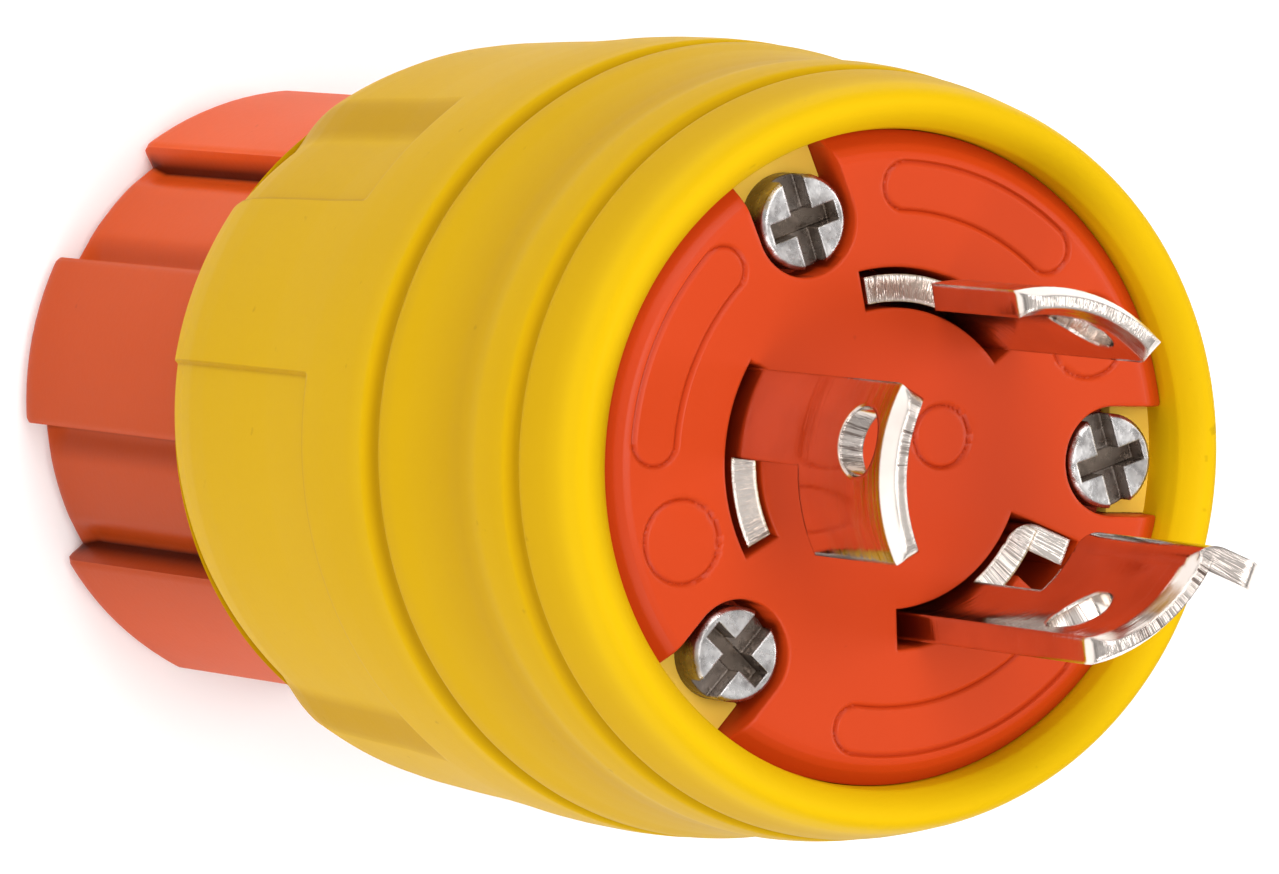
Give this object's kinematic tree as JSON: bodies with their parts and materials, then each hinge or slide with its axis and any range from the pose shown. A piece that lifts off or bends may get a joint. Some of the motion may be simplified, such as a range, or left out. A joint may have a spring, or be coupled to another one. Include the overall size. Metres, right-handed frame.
{
  "type": "locking power plug",
  "caption": "Watertight twist-locking power plug with hooked blades in a round face, a waisted body and a lobed cord nut.",
  "frame": {"origin": "centre of the cord nut's rear end, on the plug's axis", "axes": "+Z along the plug's axis from the cord end to the blades, +X towards one assembly screw, +Y completing a right-handed frame"},
  "size_m": [0.042, 0.042, 0.0854],
  "materials": {
    "body": "satin moulded elastomer",
    "face": "satin moulded, light gloss",
    "base": "moulded",
    "nickel": "bright nickel plate",
    "zinc": "zinc plated, worn",
    "brass": "turned",
    "green": "dyed zinc plate",
    "seal": "soft, dull",
    "nut": "satin moulded",
    "nylon": "natural nylon"
  },
  "bodies": {
    "cord_nut": {"cord_nut": "nut"},
    "washer": {"thrust_washer": "nylon"},
    "plug": {"housing": "body", "contact_carrier": "face", "terminal_base": "base", "blade_line_1": "nickel", "blade_line_2": "nickel", "blade_ground": "nickel", "assembly_screws": "zinc", "screw_inserts": "brass", "face_seal": "seal", "base_screw": "zinc", "wire_clamp_line_1": "brass", "wire_clamp_line_2": "brass", "wire_clamp_ground": "brass", "terminal_screws_line": "brass", "terminal_screw_ground": "green", "nut_seal": "seal", "grip_collet": "nylon", "cord_grommet": "seal"}
  },
  "joints": [
    {"name": "nut_turn", "type": "hinge", "parent": "cord_nut", "child": "washer", "pos_m": [0, 0, 0.0063], "axis": [0, 0, 1], "range_deg": [0, 360]},
    {"name": "nut_travel", "type": "slide", "parent": "washer", "child": "plug", "axis": [0, 0, 1], "range_m": [0, 0.003]}
  ],
  "couplings": [
    {"joint": "nut_travel", "follows": "nut_turn", "m_per_rad": 0.00047746}
  ]
}
